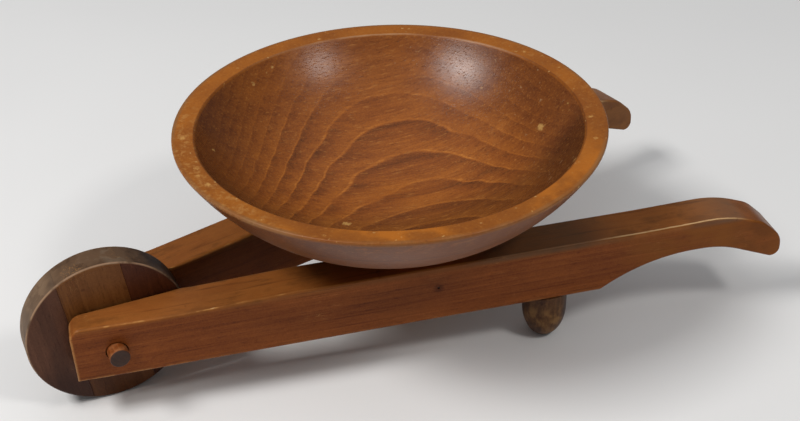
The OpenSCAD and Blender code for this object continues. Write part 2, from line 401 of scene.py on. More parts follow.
def stained_wood(
    name,
    pith,
    turn,
    ring_gap,
    tones,
    first_ring=0.0,
    wander=0.002,
    ragged=0.2,
    ring_strength=0.5,
    fade=None,
    streaks=0.5,
    blotches=0.4,
    gloss=0.36,
    sheen=0.25,
    seed=0.0,
):
    """Stained wood cut from a log: pith is a place on the log's middle line, whose direction is X after
    that turn. tones are the colours from its darkest late wood to its palest early wood. fade is a place,
    the distances from it at which the rings start and stop weakening, and the strength they keep."""
    finish = Finish(name)
    log = finish.turned_to(pith, turn)
    drift = finish.noise(log, (5, 16, 16), 2, 0.5, seed + 3.1, 1)
    drift = finish.node(
        "ShaderNodeVectorMath",
        {"operation": "MULTIPLY_ADD"},
        {0: drift, 1: (2 * wander,) * 3, 2: (-wander,) * 3},
    )
    bent = finish.node("ShaderNodeVectorMath", {"operation": "ADD"}, {0: log, 1: drift})
    fine = finish.noise(log, (90, 330, 330), 3, 0.6, seed + 1.7)
    radius = finish.length(finish.stretched(bent, (0, 1, 1)))
    years = (radius - first_ring) / ring_gap + (fine - 0.5) * ragged
    uneven = finish.noise(finish.stretched(bent, (0.02, 1, 1)), (90, 90, 90), 1, 0.5, seed + 8.3)
    years = years + (uneven - 0.5) * 0.3
    part = years.by("FRACT")
    # a pale thin line where each year starts, then late wood that clears slowly
    line = part.rise(0.09, 0.02) + part.rise(0.95, 1.0)
    late = part.rise(0.02, 0.12) * part.rise(0.95, 0.06)
    uncertain = finish.noise(bent, (9, 70, 70), 2, 0.5, seed + 8.8)
    line = line * uncertain.rise(0.25, 0.62)
    late = late * (0.2 + 1.5 * uncertain)
    if fade:
        centre, near, far, least = fade
        away = finish.node(
            "ShaderNodeVectorMath", {"operation": "DISTANCE"}, {0: finish.place, 1: centre}, "Value"
        )
        kept = 1 - away.rise(near, far) * (1 - least)
        line = line * kept
        late = late * kept

    fibre = finish.noise(log, (16, 520, 520), 4, 0.7, seed + 5.2)
    coarse = finish.noise(log, (6, 130, 130), 3, 0.55, seed + 6.9)
    pores = finish.noise(log, (130, 1300, 1300), 2, 0.6, seed + 2.4).rise(0.57, 0.74)
    blotch = finish.noise(log, (20, 34, 34), 4, 0.6, seed + 9.5)
    grit = finish.noise(finish.place, (900, 900, 900), 2, 0.6, seed + 7.7)

    tone = 0.5 + (fibre - 0.5) * (1.15 * streaks) + (coarse - 0.5) * (0.9 * streaks)
    tone = tone + line * (0.40 * ring_strength) - late * (0.46 * ring_strength)
    tone = tone + (blotch - 0.5) * blotches + (grit - 0.5) * 0.5
    stops = [(i / (len(tones) - 1), tone_colour) for i, tone_colour in enumerate(tones)]
    finish.colour = finish.node(
        "ShaderNodeValToRGB", {"stops": stops}, {"Fac": tone}, "Color"
    )
    finish.shade(pores * 0.55, (0.35, 0.27, 0.22))
    worn_gloss = finish.noise(finish.place, (45, 45, 45), 3, 0.6, seed + 4.4)
    finish.roughness = gloss + (worn_gloss - 0.5) * 0.14 + (fibre - 0.5) * 0.08
    finish.height = (fibre - 0.5) * 0.5 - pores * 0.5 + (worn_gloss - 0.5) * 0.8 + line * 0.25
    finish.log = log
    finish.shader.inputs["IOR"].default_value = 1.45
    finish.shader.inputs["Specular IOR Level"].default_value = sheen
    return finish


def scuffs(finish, place, along, colour, seed, amount=1.0):
    """Fine pale scratches and small dents, scattered over places, longer along the first axis."""
    hair = finish.noise(place, along, 2, 0.5, seed)
    hair = hair.ridge(0.488, 0.498, 0.502, 0.512)
    where = finish.noise(place, (26, 26, 26), 2, 0.5, seed + 2.2).rise(0.56, 0.72)
    finish.tint(hair * where * (0.55 * amount), colour, 0.1)
    dents = finish.noise(place, (170, 170, 170), 1, 0.4, seed + 4.9).rise(0.74, 0.8)
    finish.shade(dents * (0.45 * amount), (0.45, 0.35, 0.3))
    finish.height = finish.height - dents * 0.8


def marks(finish, place, spots, colour, strength):
    """Worn marks at a few places, each (heading in degrees, radius, height, size), with ragged edges."""
    ragged = finish.noise(place, (620, 620, 620), 3, 0.7, 33.0) - 0.5
    total = None
    for heading, radius, height, size in spots:
        a = math.radians(heading)
        at = (radius * math.cos(a), radius * math.sin(a), height)
        far = finish.node("ShaderNodeVectorMath", {"operation": "DISTANCE"}, {0: place, 1: at}, "Value")
        mark = (far / size + ragged * 2.6).rise(1.05, 0.45)
        total = mark if total is None else total.by("MAXIMUM", mark)
    finish.tint(total * strength, colour, 0.12)
    finish.height = finish.height - total * 0.6


RED_BROWN = [(0.075, 0.018, 0.004), (0.16, 0.040, 0.008), (0.24, 0.066, 0.013), (0.35, 0.115, 0.027)]
GOLD_BROWN = [(0.09, 0.025, 0.005), (0.21, 0.057, 0.0085), (0.33, 0.10, 0.013), (0.52, 0.195, 0.034)]
TAN_BROWN = [(0.065, 0.020, 0.005), (0.125, 0.042, 0.009), (0.18, 0.066, 0.016), (0.25, 0.10, 0.03)]
DARK_MAROON = [(0.025, 0.006, 0.002), (0.055, 0.013, 0.004), (0.09, 0.024, 0.008), (0.14, 0.044, 0.018)]
PURPLE_BROWN = [(0.040, 0.013, 0.007), (0.07, 0.025, 0.012), (0.10, 0.038, 0.019), (0.15, 0.062, 0.034)]
OLIVE_BROWN = [(0.035, 0.013, 0.005), (0.075, 0.029, 0.009), (0.135, 0.057, 0.018), (0.25, 0.125, 0.042)]
BARE_WOOD = [(0.32, 0.18, 0.08), (0.45, 0.27, 0.13), (0.56, 0.36, 0.18), (0.66, 0.46, 0.26)]
WORN_GOLD = (0.50, 0.24, 0.07)
WORN_PALE = (0.62, 0.40, 0.19)

# Stains, wear, painted light and painted shade, laid over the woods
TOP_DARK = (0.19, 0.058, 0.012)        # a rail's top face
TOP_PALE = (0.40, 0.155, 0.034)
BOWL_SHADE = (0.085, 0.052, 0.028)      # beside the bowl
HAND_GREY = (0.135, 0.082, 0.052)
GRIP_BROWN = (0.22, 0.072, 0.010)
RIGHT_GRIP_PAINTED_LIGHT = (0.29, 0.125, 0.04)
LOW_EDGE_BROWN = (0.30, 0.12, 0.036)
OUTSIDE_DARK = (0.10, 0.028, 0.007)    # the bowl's outside
OUTSIDE_PALE = (0.25, 0.075, 0.017)
SPLASH_ORANGE = (0.32, 0.105, 0.02)
RIM_DARK = (0.225, 0.062, 0.004)
RIM_PALE = (0.345, 0.104, 0.006)
RIM_SPECKLE = (0.44, 0.18, 0.033)
RIM_RUBBED = (0.44, 0.21, 0.055)
RIM_ORANGE = (0.47, 0.140, 0.008)
RIM_SPECK = (0.58, 0.34, 0.12)
RIM_MARK = (0.56, 0.30, 0.085)
INNER_EDGE_HIGHLIGHT = (0.42, 0.27, 0.16)
OUTER_LINE = (0.17, 0.095, 0.04)
INSIDE_MARK = (0.48, 0.27, 0.08)
INSIDE_SPECK = (0.36, 0.21, 0.10)
INSIDE_FLECK = (0.56, 0.25, 0.06)
TREAD_DARK = (0.032, 0.018, 0.011)
TREAD_PALE = (0.135, 0.084, 0.048)
TREAD_BARE = (0.30, 0.24, 0.17)
TREAD_LIT_TAN = (0.28, 0.18, 0.105)
WHEEL_EDGE = (0.40, 0.24, 0.14)
AXLE_END_DARK = (0.012, 0.009, 0.008)
AXLE_END_PALE = (0.04, 0.030, 0.026)
AXLE_SIDE = (0.36, 0.16, 0.065)
FOOT_WORN = (0.30, 0.155, 0.05)

# Stretches of a rail, as places along it from the axle: start, full, still full, end
# the first: where the bowl's painted shadow lies on a rail's top
BOWL_SHADOW_STRETCH = (0.09, 0.17, 0.30, 0.33)
BESIDE_BOWL = (0.215, 0.245, 0.300, 0.345)
RUBBED_HANDLE = (0.31, 0.345, 0.405, 0.43)
GRIP = (RAIL_REACH - 0.13, RAIL_REACH - 0.09, RAIL_REACH - 0.01, RAIL_REACH + 0.02)
HANDLE_TIP = (RAIL_REACH - 0.045, RAIL_REACH - 0.028, RAIL_REACH - 0.012, RAIL_REACH)
# Its two ends, as the places where a change starts and is full
CHIPPED_NOSE = (0.135, 0.10)
PALE_NOSE = (0.115, 0.085)
GREYED_HANDLE = (RAIL_REACH - 0.085, RAIL_REACH - 0.035)


def rail_finish(name, side, seed):
    """Rail wood, its edges rubbed through to paler wood and its top dull where hands hold it."""
    turn = Euler((0, -PITCH, side * SPLAY))
    pith = along_rail(0.1, -0.045, 0.085, side)
    grain = Euler((0, -PITCH - 0.012, side * SPLAY + 0.01))
    finish = stained_wood(
        name, pith, grain, 0.0042, RED_BROWN, wander=0.003, ring_strength=0.12,
        streaks=0.58, blotches=0.55, gloss=0.36, sheen=0.12, seed=seed,
    )
    rail = finish.turned_to(along_rail(0, 0, -AXLE_V, side), turn)
    u, w, v = finish.axes(rail)
    inwards = w * (-side)                      # from the outer face
    rough_edge = finish.noise(rail, (120, 240, 240), 3, 0.6, seed + 11.0)
    broken = finish.noise(rail, (22, 22, 22), 3, 0.6, seed + 12.0)
    smudge = finish.noise(rail, (30, 60, 60), 4, 0.65, seed + 14.0)
    # thin dark threads in the sides
    thread = finish.noise(rail, (9, 300, 700), 2, 0.55, seed + 15.0).rise(0.56, 0.74)
    finish.shade(thread * 0.6, (0.45, 0.38, 0.4))
    # painted shade: the inner side, which faces the other rail, is darker
    finish.shade(inwards.rise(RAIL_T - 0.004, RAIL_T - 0.001) * 0.35, (0.5, 0.45, 0.5))
    # the top face is more golden than the sides, and smudged
    top = v.rise(RAIL_H - 0.006, RAIL_H - 0.002)
    worn = broken * 0.6 + smudge.rise(0.3, 0.7) * 0.4
    finish.tint(top * 0.6, finish.mix(worn, TOP_DARK, TOP_PALE))
    finish.shade(top * thread * 0.5, (0.45, 0.38, 0.4))
    finish.shade(top * smudge.rise(0.48, 0.64) * 0.6, (0.45, 0.42, 0.46))
    # painted shadow of the bowl on the stretch of the top beneath it
    finish.shade(top * u.ridge(*BOWL_SHADOW_STRETCH) * 0.5, (0.5, 0.42, 0.42))
    # painted shade on the top beside the bowl, and hands have dulled the handle's hump and end
    beside = u.ridge(*BESIDE_BOWL) * top
    finish.tint(beside * (0.35 + 0.5 * smudge), BOWL_SHADE, 0.05)
    handled = u.rise(*GREYED_HANDLE) * top
    finish.tint(handled * (0.35 + 0.4 * smudge), HAND_GREY, 0.08)
    # the grip's sides are paler, and its end has a dark patch
    grip = u.ridge(*GRIP) * (1 - top)
    finish.tint(grip * smudge.rise(0.25, 0.6) * 0.75, GRIP_BROWN)
    # painted light: the right rail's grip is painted paler than the left rail's
    if side > 0:
        finish.tint(grip * 0.6, RIGHT_GRIP_PAINTED_LIGHT)
    tip = u.ridge(*HANDLE_TIP)
    finish.shade(tip * smudge.rise(0.42, 0.6) * (1 - top) * 0.5, (0.5, 0.42, 0.55))
    # a paler strip along the lower edge of the sides
    low = v.rise(0.0032, 0.0010) * rough_edge.rise(0.35, 0.6)
    finish.tint(low * 0.5, LOW_EDGE_BROWN)
    # the top's outer edge is rubbed: in chips near the nose, in a thin line along the handle
    reach = rough_edge * 0.0012 + 0.0003
    outer = (inwards / reach).ridge(0.1, 0.4, 0.8, 1.3)
    inner = ((RAIL_T - inwards) / reach).ridge(0.1, 0.4, 0.8, 1.3)
    near_top = v.rise(RAIL_H - 0.012, RAIL_H - 0.004)
    chips = finish.noise(rail, (60, 75, 75), 3, 0.6, seed + 13.0)
    front = u.rise(*CHIPPED_NOSE) * chips.rise(0.50, 0.62)
    back = u.ridge(*RUBBED_HANDLE) * chips.rise(0.25, 0.4)
    rubbed = (outer + inner) * near_top
    finish.tint(rubbed * front * 0.6, WORN_GOLD, 0.08)
    finish.tint(rubbed * back * 0.8, WORN_PALE, 0.08)
    finish.tint(rubbed * (0.16 * broken), WORN_GOLD)
    finish.tint(rubbed * chips.rise(0.66, 0.70) * u.rise(*PALE_NOSE) * 0.7, WORN_PALE, 0.1)
    # and so are the nose's upright edges and its lower one
    nose = u.rise(-RAIL_NOSE + 0.0022, -RAIL_NOSE + 0.0008) * rough_edge.rise(0.3, 0.55)
    finish.tint(nose * 0.5, WORN_GOLD, 0.08)
    nose_low = v.rise(0.0022, 0.0008) * u.rise(0.05, 0.03) * rough_edge.rise(0.35, 0.6)
    finish.tint(nose_low * 0.5, WORN_GOLD, 0.08)
    scuffs(finish, rail, (30, 700, 700), WORN_GOLD, seed + 20.0, 0.8)
    # the wood round the nail's head is stained
    nail = along_rail(NAIL_ALONG, 0, DECK_V - NAIL_DEPTH, side)
    from_nail = finish.node(
        "ShaderNodeVectorMath", {"operation": "DISTANCE"}, {0: finish.place, 1: nail}, "Value"
    )
    finish.shade(from_nail.rise(0.0050, 0.0016) * 0.7, (0.4, 0.34, 0.36))
    return finish.done()


# Worn marks inside the bowl and on its rim: heading round the bowl, radius, height, size
INSIDE_MARKS = [
    (-8, 0.1055, 0.0505, 0.0034),
    (-11, 0.1215, 0.0692, 0.0012),
    (-14, 0.1205, 0.0680, 0.0010),
    (-47, 0.1235, 0.0716, 0.0022),
    (-51, 0.1225, 0.0702, 0.0016),
    (109, 0.1215, 0.0692, 0.0016),
    (112, 0.1205, 0.0680, 0.0012),
    (119, 0.1190, 0.0660, 0.0017),
    (160, 0.1147, 0.0605, 0.0018),
    (-156, 0.0440, 0.0163, 0.0030),
]
RIM_MARKS = [
    (164, 0.1335, 0.0747, 0.0026),
    (-179, 0.1305, 0.0743, 0.0024),
    (-175, 0.1330, 0.0746, 0.0018),
    (-170, 0.1320, 0.0745, 0.0022),
    (20, 0.1326, 0.0746, 0.0018),
    (-25, 0.1300, 0.0742, 0.0022),
    (-37, 0.1330, 0.0746, 0.0018),
    (-112, 0.1298, 0.0742, 0.0012),
    (-130, 0.1357, 0.0748, 0.0014),
    (60, 0.1340, 0.0747, 0.0014),
    (120, 0.1310, 0.0743, 0.0013),
]


BOWL_PITH = Vector((-0.0103, 0.0383, 0.176))  # on the log's middle line, from the bowl's base
BOWL_GRAIN_DIP = math.radians(5.76)
BOWL_GRAIN_TURN = math.radians(-11.48)
BOWL_RING_GAP = 0.0061
BOWL_FIRST_RING = 0.1425


def bowl_finish():
    """Bowl wood. Its growth rings cross the inside as nested arches, and its rim is rubbed."""
    base = on_rails(BOWL_X, 0, DECK_V)
    lean = Euler((0, -PITCH, 0))
    pith = base + lean.to_matrix() @ BOWL_PITH
    grain = Euler((0, -PITCH - BOWL_GRAIN_DIP, BOWL_GRAIN_TURN))
    floor_middle = base + Vector((0.0, 0.0, FLOOR))
    finish = stained_wood(
        "bowl wood", pith, grain, BOWL_RING_GAP, GOLD_BROWN, first_ring=BOWL_FIRST_RING,
        wander=0.0026, ragged=0.05, ring_strength=0.58, fade=(floor_middle, 0.065, 0.125, 0.30),
        streaks=0.50, blotches=0.46, gloss=0.27, sheen=0.32, seed=40.0,
    )
    bowl = finish.turned_to(base, lean)
    x, y, height = finish.axes(bowl)
    radius = finish.length(finish.stretched(bowl, (1, 1, 0)))
    rough_edge = finish.noise(bowl, (150, 150, 150), 3, 0.6, 51.0)
    broken = finish.noise(bowl, (24, 24, 24), 3, 0.6, 52.0)
    speckle = finish.noise(bowl, (520, 520, 520), 3, 0.65, 53.0)
    below_rim = height.rise(BOWL_H - 0.0008, BOWL_H - 0.0030)
    across = (radius - FLAT_R).by("POWER", 2.0)
    drop = (ARC_TOP - height).by("POWER", 2.0)
    from_centre = (across + drop).by("SQRT")
    outside = from_centre.rise(INNER_ARC + 0.004, INNER_ARC + 0.009) * below_rim
    # the wall is darker towards the rim, most at both ends and on the near side: partly the wood's stain,
    # partly painted shade where the walls face away from the lamps
    wall = radius.rise(0.075, 0.120) * below_rim
    ends = x.rise(-0.04, -0.11) + x.rise(0.05, 0.11) * 0.8
    near = y.rise(-0.02, -0.095)
    finish.shade(wall * (0.22 + 0.6 * ends + 0.75 * near).by("MINIMUM", 0.92), (0.44, 0.42, 0.62))
    # the floor is darker towards the near side
    darker_floor = (x * -0.23 - y * 0.99).rise(0.0, 0.040)
    finish.shade(darker_floor * (1 - outside) * (0.55 + 0.4 * broken), (0.50, 0.55, 0.72))
    # the outside is redder and duller
    turning = finish.node("ShaderNodeCombineXYZ", {}, {"X": radius, "Y": height})
    grooves = finish.noise(turning, (800, 800, 1), 2, 0.6, 56.0)
    uneven = grooves * 0.5 + broken * 0.5
    finish.tint(outside * 0.75, finish.mix(uneven, OUTSIDE_DARK, OUTSIDE_PALE))
    patch = finish.noise(bowl, (170, 170, 170), 5, 0.78, 54.0)
    splashes = height.rise(BOWL_H - 0.018, BOWL_H - 0.006) * patch.rise(0.50, 0.60)
    finish.tint(outside * splashes * 0.4, SPLASH_ORANGE)
    # painted shade on the outside towards both ends
    finish.shade(outside * x.rise(-0.03, -0.09) * 0.5, (0.5, 0.46, 0.44))
    finish.shade(outside * x.rise(0.03, 0.09) * 0.4, (0.55, 0.55, 0.6))
    # the rim: plain, lightly speckled
    rim = height.rise(BOWL_H - 0.0036, BOWL_H - 0.0024)
    rim = rim * radius.rise(RIM_INNER - 0.0012, RIM_INNER - 0.0002)
    finish.tint(rim * 0.85, finish.mix(broken.rise(0.3, 0.7), RIM_DARK, RIM_PALE))
    finish.tint(rim * speckle.rise(0.54, 0.74) * 0.45, RIM_SPECKLE)
    finish.shade(rim * speckle.rise(0.45, 0.28) * 0.45, (0.55, 0.45, 0.4))
    # rubbed patches on it, mostly at the front end and some at the back
    front = x.rise(-0.095, -0.125)
    back = x.rise(0.095, 0.125)
    rubbed = rim * (front * patch.rise(0.50, 0.60) + back * patch.rise(0.54, 0.64) * 0.6)
    finish.tint(rubbed * 0.48, RIM_RUBBED, 0.1)
    # and orange ones at the near side
    orange = rim * y.rise(-0.07, -0.11) * broken.rise(0.5, 0.62)
    finish.tint(orange * 0.55, RIM_ORANGE)
    finish.roughness = finish.roughness + (rim + outside) * 0.12
    # a painted highlight, a thin pale line, on the far part of the inner edge, and painted shade on the
    # rest of that edge; its outer edge has a dull line
    reach = (rough_edge - 0.5) * 0.0010
    from_edge = radius + reach - RIM_INNER
    inner = from_edge.ridge(-0.0008, -0.0001, 0.0002, 0.0009)
    highlit = x.rise(-0.08, 0.02) * y.rise(0.02, 0.08)
    finish.tint(inner * (1 - outside) * highlit * broken.rise(0.3, 0.6) * 0.45, INNER_EDGE_HIGHLIGHT, 0.06)
    finish.shade(inner * (1 - highlit) * 0.6, (0.45, 0.38, 0.36))
    outer = (radius + reach).ridge(BOWL_R - 0.0035, BOWL_R - 0.0012, BOWL_R + 0.001, BOWL_R + 0.002)
    finish.tint(outer * rim * broken.rise(0.35, 0.65) * 0.6, OUTER_LINE, 0.12)
    marks(finish, bowl, INSIDE_MARKS, INSIDE_MARK, 0.8)
    marks(finish, bowl, RIM_MARKS, RIM_MARK, 0.6)
    # pale specks scattered over the rim and the wall, and golden flecks along the grain
    specks = finish.noise(bowl, (230, 230, 230), 2, 0.5, 55.0).rise(0.69, 0.73)
    finish.tint(specks * rim * 0.6, RIM_SPECK, 0.1)
    finish.tint(specks * wall * (0.2 + 0.8 * x.rise(0.03, 0.09)) * 0.55, INSIDE_SPECK, 0.1)
    flecks = finish.noise(finish.log, (110, 700, 700), 2, 0.6, 57.0).rise(0.58, 0.70)
    finish.tint(flecks * (1 - rim) * 0.22, INSIDE_FLECK)
    scuffs(finish, bowl, (60, 500, 500), WORN_GOLD, 60.0, 0.5)
    return finish.done()


def wheel_finish(name, tones, offset, seed, strength):
    """Wheel wood, its grain upright along the joints, its tread ground grey and its rim rubbed."""
    upright = Euler((0, -math.pi / 2 - JOINT_LEAN, 0))
    pith = AXLE + Vector((offset, 0.07, 0))
    finish = stained_wood(
        name, pith, upright, 0.0045, tones, wander=0.003, ring_strength=strength,
        streaks=0.5, blotches=0.6, gloss=0.40, sheen=0.2, seed=seed,
    )
    wheel = finish.turned_to(AXLE, Euler((0, 0, 0)))
    radius = finish.length(finish.stretched(wheel, (1, 0, 1)))
    forwards, sideways, up = finish.axes(wheel)
    across = sideways.by("ABSOLUTE")
    broken = finish.noise(wheel, (40, 40, 40), 3, 0.6, 71.0)
    spots = finish.noise(wheel, (90, 90, 90), 3, 0.6, 72.0)
    tread = radius.rise(WHEEL_R - 0.0012, WHEEL_R - 0.0003)
    weathered = finish.mix(broken.rise(0.36, 0.62), TREAD_DARK, TREAD_PALE)
    finish.tint(tread * 0.85, weathered, 0.22)
    pale = broken.rise(0.58, 0.70) * spots.rise(0.42, 0.60)
    finish.tint(tread * pale * 0.4, TREAD_BARE, 0.1)
    # painted light on the front of the tread, and painted shade on the rest of it
    lit_front = forwards.rise(-0.012, -0.040)
    finish.tint(tread * lit_front * (0.15 + 0.4 * spots), TREAD_LIT_TAN)
    finish.shade(tread * spots.rise(0.50, 0.60) * 0.55, (0.45, 0.38, 0.34))
    finish.shade(tread * (1 - lit_front) * 0.55, (0.55, 0.48, 0.44))
    from_face = across - WHEEL_HALF
    edge = from_face.ridge(-0.0016, -0.0011, -0.0006, -0.0001)
    edge = edge * radius.rise(WHEEL_R - 0.0024, WHEEL_R - 0.0012)
    finish.tint(edge * spots.rise(0.35, 0.6) * 0.6, WHEEL_EDGE, 0.12)
    scuffs(finish, wheel, (300, 300, 60), WORN_GOLD, seed + 20.0)
    # painted shadow of the rails on the wheel's lower part
    shaded_underside = up.rise(-0.012, -0.034)
    finish.shade(shaded_underside * 0.7, (0.38, 0.30, 0.36))
    return finish.done()


def axle_finish():
    """Axle wood, dark on its sawn ends and rubbed paler beside them."""
    finish = stained_wood(
        "axle wood", AXLE + Vector((0.01, 0, 0.012)), Euler((0, 0, math.pi / 2)), 0.0028,
        RED_BROWN, wander=0.001, ring_strength=0.5, streaks=0.6, gloss=0.40, seed=90.0,
    )
    axle = finish.turned_to(AXLE, Euler((0, 0, 0)))
    across = finish.axes(axle)[1].by("ABSOLUTE")
    low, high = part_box("axle")
    half = (high.y - low.y) / 2
    spots = finish.noise(axle, (240, 240, 240), 3, 0.6, 91.0)
    end = across.rise(half - 0.0007, half - 0.0002)
    finish.tint(end * 0.85, finish.mix(spots, AXLE_END_DARK, AXLE_END_PALE), 0.2)
    side = across.rise(half - 0.009, half - 0.006) * across.rise(half - 0.0004, half - 0.0009)
    finish.tint(side * spots.rise(0.35, 0.7) * 0.6, AXLE_SIDE, 0.05)
    return finish.done()


def foot_finish(name, side, seed):
    """Foot wood, blotched, worn golden where it has been knocked and dark at its tip."""
    top = along_rail(FOOT_REACH, -RAIL_T / 2, -AXLE_V, side)
    finish = stained_wood(
        name, top + Vector((0.02, 0.015 * side, 0)), Euler((0, math.pi / 2, 0)), 0.0035,
        OLIVE_BROWN, wander=0.002, ring_strength=0.2, streaks=0.6, blotches=0.9, gloss=0.42, seed=seed,
    )
    foot = finish.turned_to(top, Euler((0, 0, 0)))
    height = finish.axes(foot)[2]
    patches = finish.noise(foot, (85, 85, 60), 3, 0.62, seed + 1.0)
    finish.shade(patches.rise(0.48, 0.60) * 0.75, (0.36, 0.28, 0.32))
    worn = patches.rise(0.50, 0.36) * height.rise(-0.004, -0.016)
    finish.tint(worn * 0.6, FOOT_WORN, 0.1)
    tip = height.rise(-0.0345, -0.038)
    finish.shade(tip * 0.6, (0.4, 0.34, 0.32))
    return finish.done(0.4)


def plain_finish():
    """Unstained wood, for what the bowl hides."""
    finish = stained_wood(
        "plain wood", on_rails(BOWL_X, 0.03, -0.03), Euler((0, 0, math.pi / 2)), 0.004,
        BARE_WOOD, wander=0.003, ring_strength=0.7, streaks=0.5, gloss=0.62, seed=120.0,
    )
    return finish.done()


def steel_finish(name, dark, pale):
    """Steel between a dark and a pale tone, with fine drawn lines."""
    finish = Finish(name)
    grime = finish.noise(finish.place, (400, 400, 400), 3, 0.6, 130.0)
    lines = finish.noise(finish.place, (900, 900, 90), 2, 0.5, 131.0)
    finish.colour = finish.mix(grime, dark, pale)
    finish.roughness = 0.32 + grime * 0.25
    finish.height = lines
    finish.shader.inputs["Metallic"].default_value = 1.0
    return finish.done(0.15)


# ---- Bowl ----


def arc_points(radius, from_height, to_height, count):
    """Points on one of the bowl's wall arcs, between two heights, evenly spaced by angle."""
    start = math.acos((ARC_TOP - from_height) / radius)
    end = math.acos((ARC_TOP - to_height) / radius)
    points = []
    for i in range(count + 1):
        angle = start + (end - start) * i / count
        points.append((FLAT_R + radius * math.sin(angle), ARC_TOP - radius * math.cos(angle)))
    return points


def eased(points, corner, before, after, radius, steps=4):
    """A rounded corner between two neighbours, as points on a quadratic curve through it."""
    a, c, b = Vector(before), Vector(corner), Vector(after)
    first = c + (a - c).normalized() * radius
    last = c + (b - c).normalized() * radius
    for i in range(steps + 1):
        t = i / steps
        point = first * (1 - t) ** 2 + c * (2 * t * (1 - t)) + last * t**2
        points.append((point.x, point.y))


def bowl_section():
    """Half of the bowl's section, from the middle of its base round to the middle of its floor."""
    outer = arc_points(OUTER_ARC, BASE_H, BOWL_H - RIM_BAND, 26)
    inner = arc_points(INNER_ARC, BOWL_H - RIM_FALL, FLOOR, 30)
    band_top = (BOWL_R, BOWL_H)
    inside_edge = (RIM_INNER, BOWL_H - RIM_FALL)
    points = [(0.012, 0.0), (0.034, 0.0)]
    eased(points, (BASE_R, 0.0), (0.0, 0.0), (BASE_R, BASE_H), 0.0014, 3)
    points += outer[:-1]
    eased(points, (BOWL_R, BOWL_H - RIM_BAND), outer[-2], band_top, 0.0006, 2)
    eased(points, band_top, (BOWL_R, 0.0), inside_edge, RIM_EDGE, 4)
    for share in (0.25, 0.5, 0.75):
        points.append((BOWL_R + (RIM_INNER - BOWL_R) * share, BOWL_H - RIM_FALL * share))
    eased(points, inside_edge, band_top, inner[1], RIM_EDGE * 0.8, 4)
    points += inner[1:]
    points += [(0.008, FLOOR), (0.003, FLOOR)]
    return points


bowl = turned("turned_bowl", bowl_section(), 256)
put(bowl, on_rails(BOWL_X, 0, DECK_V), (0, -PITCH, 0))
smooth(bowl, 40)
hand_over(bowl, bowl_finish(), "frame", "bowl")

# ---- Rails ----


def rail_piece(side, node, name):
    """A rail with its long edges rounded."""
    piece = board_copy(node, name)
    to_rails = Matrix.Rotation(PITCH, 3, "Y")
    lengthwise = Matrix.Rotation(-PITCH, 3, "Y") @ Vector((math.cos(SPLAY), side * math.sin(SPLAY), 0))

    def along(place):
        local = to_rails @ (place - AXLE)
        return local.x * math.cos(SPLAY) + (side * local.y - FACE_Y) * math.sin(SPLAY)

    def inwards(place):
        local = to_rails @ (place - AXLE)
        return local.x * math.sin(SPLAY) - (side * local.y - FACE_Y) * math.cos(SPLAY)

    def lies_flat(a, b):
        """Whether an edge lies in one of the rail's two flat sides."""
        if abs(inwards(a) - inwards(b)) > TOUCHING:
            return False
        return abs(inwards(a)) < TOUCHING or abs(inwards(a) - RAIL_T) < TOUCHING

    def rounds_hole(place):
        """Whether a place is on the edge of the axle's hole or of the nail's."""
        local = to_rails @ (place - AXLE)
        by_axle = math.hypot(local.x, local.z) < 2 * AXLE_R
        by_nail = abs(along(place) - NAIL_ALONG) < NAIL_CLEAR and 0 < local.z < DECK_V - NAIL_CLEAR
        return by_axle or by_nail

    def is_long_edge(a, b, angle):
        return angle > math.radians(30) and lies_flat(a, b) and not rounds_hole((a + b) / 2)

    def is_bridge(a, b, angle):
        """Whether an edge only joins a hole to the outline, across a flat side."""
        return angle < math.radians(0.1) and lies_flat(a, b) and abs(along(a) - along(b)) > 1e-4

    def at_corner(place):
        height = (to_rails @ (place - AXLE)).z
        return along(place) < NOSE_CORNER - RAIL_NOSE and height < NOSE_CORNER - AXLE_V

    # cuts across the holes leave the flat sides without a hole inside any face, and then the
    # slanting edges that joined the holes to the outline are not needed
    for cut in (0.0, NAIL_ALONG):
        bpy.ops.mesh.select_all(action="SELECT")
        place = along_rail(cut, -RAIL_T / 2, 0, side)
        bpy.ops.mesh.bisect(plane_co=place, plane_no=lengthwise)
    if select_edges(piece, is_bridge):
        bpy.ops.mesh.dissolve_edges(use_verts=False)
    # the nose's lower corner is made square, because the rounding below is wider than it
    select_points(piece, lambda place: at_corner(place) and inwards(place) < RAIL_T / 2)
    bpy.ops.mesh.merge(type="CENTER")
    select_points(piece, lambda place: at_corner(place) and inwards(place) > RAIL_T / 2)
    bpy.ops.mesh.merge(type="CENTER")
    select_edges(piece, is_long_edge)
    bpy.ops.mesh.bevel(offset=RAIL_EDGE, segments=4, profile=0.5, affect="EDGES")
    deselect()
    smooth(piece, 30)
    return piece


left_rail = rail_piece(-1, "left_rail", "left_rail_board")
hand_over(left_rail, rail_finish("left rail wood", -1, 1.0), "frame", "left_rail")
right_rail = rail_piece(1, "right_rail", "right_rail_board")
hand_over(right_rail, rail_finish("right rail wood", 1, 7.0), "frame", "right_rail")

# ---- Feet ----


def foot_section():
    """Half of a foot's section, from its tenon down to its tip."""
    end = [math.radians(a) for a in range(0, 90, 6)]
    points = [(0.003, TENON_LEN), (TENON_R, TENON_LEN), (TENON_R, 0.0)]
    eased(points, (FOOT_R, 0.0), (TENON_R, 0.0), (FOOT_R, -FOOT_STRAIGHT), FOOT_SHOULDER, 3)
    for angle in end:
        points.append((FOOT_R * math.cos(angle), -FOOT_STRAIGHT - FOOT_ROUND * math.sin(angle)))
    points.append((0.0006, -FOOT_STRAIGHT - FOOT_ROUND))
    return points


